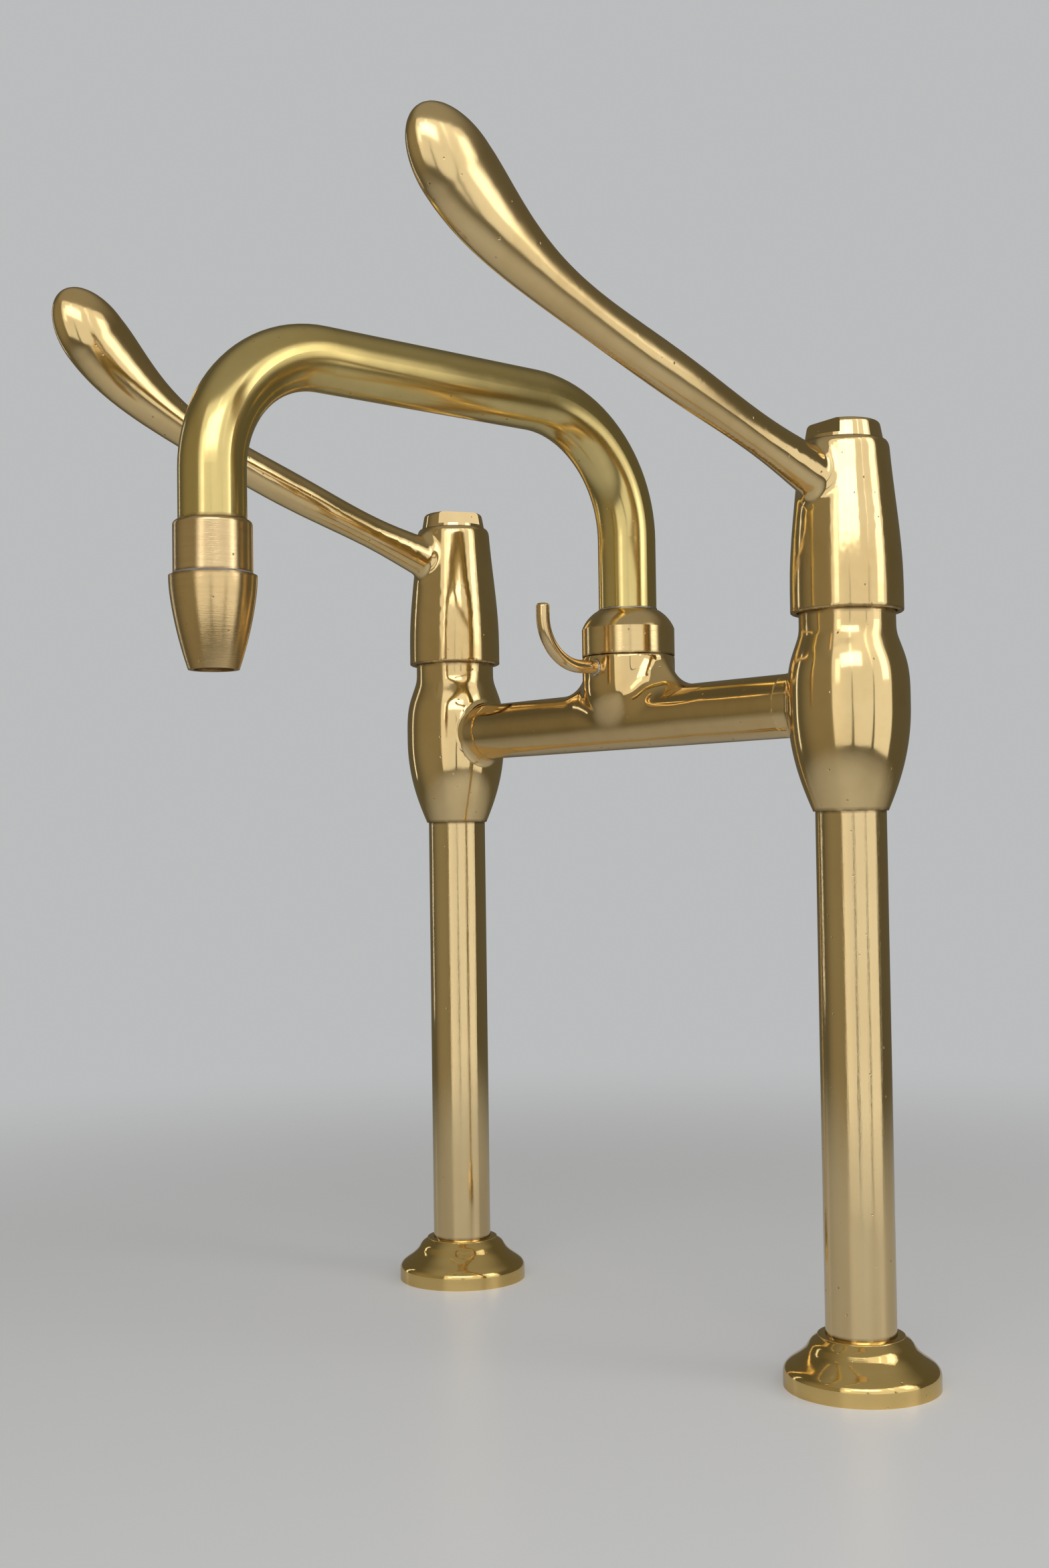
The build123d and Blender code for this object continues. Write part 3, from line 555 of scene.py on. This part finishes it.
# %% Finishes of the turned pieces
fine_pits = 700.0
nozzle_top = height_of("nozzle", 1)
collar_top = height_of("nozzle_collar", 1)
finishes["nozzle"] = brass(
    "nozzle_brass", bright=(0.86, 0.635, 0.325, 1), deep=(0.69, 0.465, 0.195, 1),
    tone=(30.0, 0.5, 0.13, 0.21), ripple=(50.0, 0.2, fine_pits, 0.03),
    line=((1.0, 1.0, 30.0), 120.0, 0.03, 0.15), seams=[(nozzle_top, 0.0010, 0.8)])
finishes["nozzle_collar"] = brass(
    "collar_brass", bright=(0.87, 0.655, 0.36, 1), deep=(0.71, 0.49, 0.235, 1),
    tone=(28.0, 0.5, 0.09, 0.16), ripple=(50.0, 0.25, fine_pits, 0.03),
    line=((1.0, 1.0, 24.0), 120.0, 0.04, 0.2),
    seams=[(nozzle_top + 0.0008, 0.0008, 0.7), (collar_top, 0.0009, 0.6)])
for side in ("hot", "cold"):
    finishes[f"{side}_lever_cap"] = brass(
        f"{side}_cap_brass", bright=(0.88, 0.67, 0.355, 1), deep=(0.74, 0.52, 0.24, 1),
        tone=(40.0, 0.4, 0.05, 0.10), ripple=(60.0, 0.3, fine_pits, 0.02))
finishes["bright_brass"] = brass(
    "bright_brass", bright=(0.90, 0.66, 0.27, 1), deep=(0.74, 0.50, 0.16, 1),
    tone=(30.0, 0.4, 0.05, 0.11), ripple=(60.0, 0.22, fine_pits, 0.02),
    line=((1.0, 1.0, 14.0), 160.0, 0.012, 0.12))
finishes["plain_brass"] = brass(
    "plain_brass", bright=(0.74, 0.58, 0.32, 1), deep=(0.5, 0.36, 0.16, 1),
    tone=(30.0, 0.5, 0.28, 0.4), ripple=(60.0, 0.1, fine_pits, 0.02),
    line=((1.0, 1.0, 10.0), 200.0, 0.08, 0.3))
print("with the turned ones", len(finishes))

# %% Finishes of the drawn pieces
finishes["hook"] = brass(
    "hook_brass", bright=(0.87, 0.66, 0.36, 1), deep=(0.70, 0.48, 0.22, 1),
    tone=(60.0, 0.5, 0.10, 0.17), ripple=(90.0, 0.15, fine_pits, 0.03))
pillar_seams = [(height_of("hot_valve_body", 0), 0.0011, 0.8), (height_of("hot_deck_flange", 1), 0.0012, 0.7)]
finishes["pillar_brass"] = brass(
    "pillar_brass", bright=(0.88, 0.685, 0.375, 1), deep=(0.73, 0.52, 0.25, 1),
    tone=(22.0, 0.4, 0.05, 0.10), ripple=(30.0, 0.12, fine_pits, 0.012),
    line=((1.0, 1.0, 0.03), 700.0, 0.045, 0.3), seams=pillar_seams)
tube_low, tube_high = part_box("spout_tube")
tube_radius = tube_high.x
arm_height = tube_high.z - tube_radius
rear_bend = 0.048
front_bend = 0.0425
quarter = math.radians(90)
rear_middle = (0, -rear_bend, arm_height - rear_bend)
front_middle = (0, tube_low.y + tube_radius + front_bend, arm_height - front_bend)
tube_bends = [(rear_middle, rear_bend, 0, quarter), (front_middle, front_bend, quarter, 2 * quarter)]
finishes["spout_brass"] = brass(
    "spout_brass", bright=(0.83, 0.655, 0.275, 1), deep=(0.66, 0.485, 0.16, 1),
    tone=(24.0, 0.5, 0.16, 0.24), ripple=(36.0, 0.2, fine_pits, 0.012), axis=axis_of("nozzle"), within=0.02,
    wrinkles=tube_bends, seams=[(collar_top, 0.0012, 0.8)])
print("brass finishes", len(finishes))

# %% [markdown]
# ## The other materials
# Rubber, fibre, plastic and steel hardly show on this tap, but the washer over the nozzle does as a thin
# grey line, solder does in two places, and the rest comes into sight when the tap is taken apart. Each is
# a noisy version of its plain colour.

# %% Soft and hard odds and ends
roughness_spread = 0.08
dust_size = 900.0


def plain(name, first, second, size, rough, grain, metal):
    finish, graph = new_material(name)
    place = add(graph, "ShaderNodeTexCoord").outputs["Object"]
    cloud = place_group(graph, clouds, {
        "Vector": place, "Bright": first, "Deep": second, "Size": size, "Amount": 0.8,
        "Smooth": rough - roughness_spread, "Dull": rough + roughness_spread})
    dust = place_group(graph, ripples, {
        "Vector": place, "Ripple Size": dust_size, "Ripple Depth": grain,
        "Pit Size": dust_size, "Pit Share": 0.1, "Pit Depth": grain})
    bump = add(graph, "ShaderNodeBump", {
        "Strength": 1.0, "Distance": bump_distance, "Height": dust["Height"]})
    shader = add(graph, "ShaderNodeBsdfPrincipled", {
        "Base Color": cloud["Color"], "Roughness": cloud["Roughness"], "Metallic": metal,
        "Normal": bump.outputs[0]})
    add(graph, "ShaderNodeOutputMaterial", {"Surface": shader.outputs[0]})
    return finish


# Each row gives the two colours, the size of the clouds, the roughness, the grain and whether it is a metal
odds_and_ends = {
    "grey_washer": ((0.33, 0.31, 0.29, 1), (0.2, 0.18, 0.16, 1), 200.0, 0.6, 0.05, 0.0),
    "steel": ((0.62, 0.62, 0.6, 1), (0.5, 0.5, 0.49, 1), 90.0, 0.3, 0.02, 1.0),
    "solder": ((0.60, 0.585, 0.55, 1), (0.36, 0.33, 0.28, 1), 320.0, 0.34, 0.22, 1.0),
    "black_rubber": ((0.05, 0.05, 0.05, 1), (0.03, 0.03, 0.03, 1), 150.0, 0.65, 0.05, 0.0),
    "fibre": ((0.45, 0.17, 0.11, 1), (0.33, 0.11, 0.07, 1), 250.0, 0.75, 0.1, 0.0),
    "white_plastic": ((0.86, 0.86, 0.83, 1), (0.78, 0.77, 0.74, 1), 120.0, 0.45, 0.02, 0.0),
}
for name, values in odds_and_ends.items():
    finishes[name] = plain(name, *values)

for subpart in frame["record"]["subparts"]:
    piece = nodes[subpart["node"]]
    piece.data.materials.clear()
    piece.data.materials.append(finishes.get(subpart["node"]) or finishes[subpart["material_slot"]])

# %% [markdown]
# ## Hand polished castings
# The levers and the tee were cast, filed and buffed by hand, so nothing on them is a sharp change of
# curve: each blade runs into its round end, and the tee into the bridge, without a line. A mirror finish
# shows the smallest break between two CAD surfaces and even the long thin triangles of their mesh. A copy
# of the solid's mesh is remade with small even faces by a voxel remesh, and then relaxed, as a buffing
# wheel would: a few rounds everywhere, which only break the edges, and many rounds where the metal flows.
# Each round pulls every point towards its neighbours and then pushes it back a little further. That takes
# out creases and keeps the thickness, where pulling alone would make the blades thinner.

# %% Skins of the castings
light_rounds = 4
rubbing_rounds = 60
pull_and_push = (0.5, -0.52)


def buffed_skin(node, body, voxel, flows):
    """A relaxed copy of a node. flows(point) says where the metal was rubbed smooth."""
    skin = bpy.data.objects.new(f"{node}_skin", nodes[node].data.copy())
    bpy.context.scene.collection.objects.link(skin)
    even = skin.modifiers.new("even faces", "REMESH")
    even.mode = "VOXEL"
    even.voxel_size = voxel
    even.use_smooth_shade = True
    remade = bpy.data.meshes.new_from_object(skin.evaluated_get(bpy.context.evaluated_depsgraph_get()))
    skin.modifiers.clear()
    skin.data = remade
    skin_bm = bmesh.new()
    skin_bm.from_mesh(remade)
    rubbed_points = [vert for vert in skin_bm.verts if flows(vert.co)]
    for verts, rounds in ((skin_bm.verts, light_rounds), (rubbed_points, rubbing_rounds)):
        for _ in range(rounds):
            for factor in pull_and_push:
                bmesh.ops.smooth_vert(skin_bm, verts=verts, factor=factor, use_axis_x=True, use_axis_y=True,
                                      use_axis_z=True)
    for face in skin_bm.faces:
        face.smooth = True
    skin_bm.to_mesh(remade)
    skin_bm.free()
    remade.materials.clear()
    remade.materials.append(finishes[node])
    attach(skin, body)
    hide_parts(node)
    print(skin.name, len(remade.polygons), "faces,", len(rubbed_points), "points rubbed smooth")


lever_voxel = 0.00065
bridge_voxel = 0.0007
arm_start = 0.024
for side in ("hot", "cold"):
    post = Vector(axis_of(f"{side}_pillar"))
    buffed_skin(f"{side}_lever", f"{side}_handle", lever_voxel,
                lambda point: (point - post).xy.length > arm_start)
tee_edge = tee_top - 0.0015
tee_side = 0.06
buffed_skin("bridge", "stand", bridge_voxel,
            lambda point: point.z < tee_edge and abs(point.x) < tee_side)

# %% [markdown]
# ## Solder
# The hook is a bent rod that was soldered into the tee, and the tube carries a ring of solder just above
# the gland nut, which turns with the spout. Both show as a thin grey line that swells and thins, because
# solder runs where the heat takes it. A bead is a ring whose thickness wanders: a few seeded random
# thicknesses, with a smooth step from each to the next.

# %% Solder beads
swell_count = 11
thinnest = 0.45
thickest = 1.3


def solder_bead(name, middle, along, ring, thick, seed, body):
    dice = random.Random(seed)
    swells = [thick * dice.uniform(thinnest, thickest) for _ in range(swell_count)]
    around = 88
    across = 10
    bead_bm = bmesh.new()
    rows = []
    for i in range(around):
        turn = 2 * math.pi * i / around
        spot = i / around * len(swells)
        first = int(spot)
        part = spot - first
        part = part * part * (3 - 2 * part)
        half = swells[first] * (1 - part) + swells[(first + 1) % len(swells)] * part
        row = []
        for j in range(across):
            tilt = 2 * math.pi * j / across
            out = ring + half * math.cos(tilt)
            corner = (out * math.cos(turn), out * math.sin(turn), half * math.sin(tilt))
            row.append(bead_bm.verts.new(corner))
        rows.append(row)
    for i in range(around):
        here = rows[i]
        there = rows[(i + 1) % around]
        for j in range(across):
            up = (j + 1) % across
            face = bead_bm.faces.new((here[j], there[j], there[up], here[up]))
            face.smooth = True
    mesh = bpy.data.meshes.new(name)
    bead_bm.to_mesh(mesh)
    bead_bm.free()
    mesh.transform(Matrix.Translation(middle) @ Vector(along).to_track_quat("Z", "Y").to_matrix().to_4x4())
    bead = bpy.data.objects.new(name, mesh)
    bpy.context.scene.collection.objects.link(bead)
    mesh.materials.append(finishes["solder"])
    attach(bead, body)


hook_low, hook_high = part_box("hook")
hook_rod = hook_high.x
socket_depth = 0.0022
hook_root = Vector((0, hook_high.y - socket_depth, hook_low.z + hook_rod))
solder_bead("hook_solder", hook_root, (0, -1, 0), ring=hook_rod + 0.0001, thick=0.00075, seed=4, body="stand")
tube_root = Vector((0, 0, height_of("spout_gland_nut", 1) + 0.0006))
solder_bead("tube_solder", tube_root, (0, 0, 1), ring=tube_radius, thick=0.0005, seed=9, body="spout")
print("two solder beads, hook root at", [round(v, 4) for v in hook_root])
